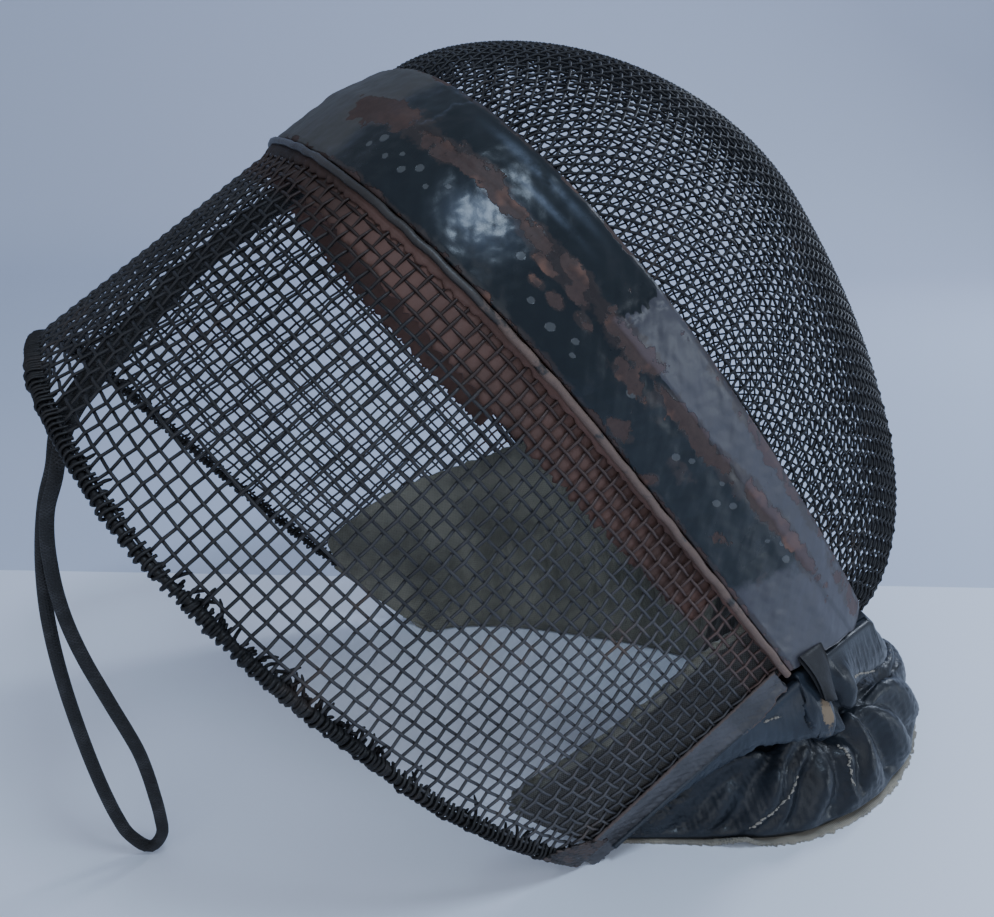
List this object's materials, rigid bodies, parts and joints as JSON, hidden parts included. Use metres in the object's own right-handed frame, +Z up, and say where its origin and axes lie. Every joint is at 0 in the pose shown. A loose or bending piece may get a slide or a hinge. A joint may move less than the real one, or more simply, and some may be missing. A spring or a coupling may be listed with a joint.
{
  "type": "fencing mask",
  "caption": "Wire fencing mask lying on its padded bib: woven side and face nets, enamelled crown band, linings and a hanging elastic cord.",
  "frame": {"origin": "on the floor, under the middle of the outline without its hanging cord", "axes": "+X the way the face looks, seen from above, +Y the wearer's left, +Z up"},
  "size_m": [0.3761, 0.2496, 0.2877],
  "materials": {
    "wire": "rusted dark wire",
    "enamel": "worn black enamel",
    "brown_leather": "worn red-brown",
    "iron_strip": "dull, rusted edges",
    "grey_canvas": "grey-green, soiled",
    "black_leather": "creased, half gloss",
    "tan_canvas": "raw canvas",
    "elastic": "braided cover"
  },
  "bodies": {
    "root": {"side_net_near_jaw": "wire", "side_net_near_cheek": "wire", "side_net_crown": "wire", "side_net_far_cheek": "wire", "side_net_far_jaw": "wire", "face_net_near_jaw": "wire", "face_net_near_cheek": "wire", "face_net_crown": "wire", "face_net_far_cheek": "wire", "face_net_far_jaw": "wire", "face_net_chin": "wire", "face_net_front": "wire", "crown_band": "enamel", "band_bead": "iron_strip", "rim_wire": "wire", "band_lining": "brown_leather", "jaw_strip_near": "iron_strip", "jaw_strip_far": "iron_strip", "bib_pad": "black_leather", "bib_backing": "tan_canvas", "chin_lining": "grey_canvas", "cord_tab": "black_leather", "elastic_cord": "elastic"}
  },
  "joints": []
}
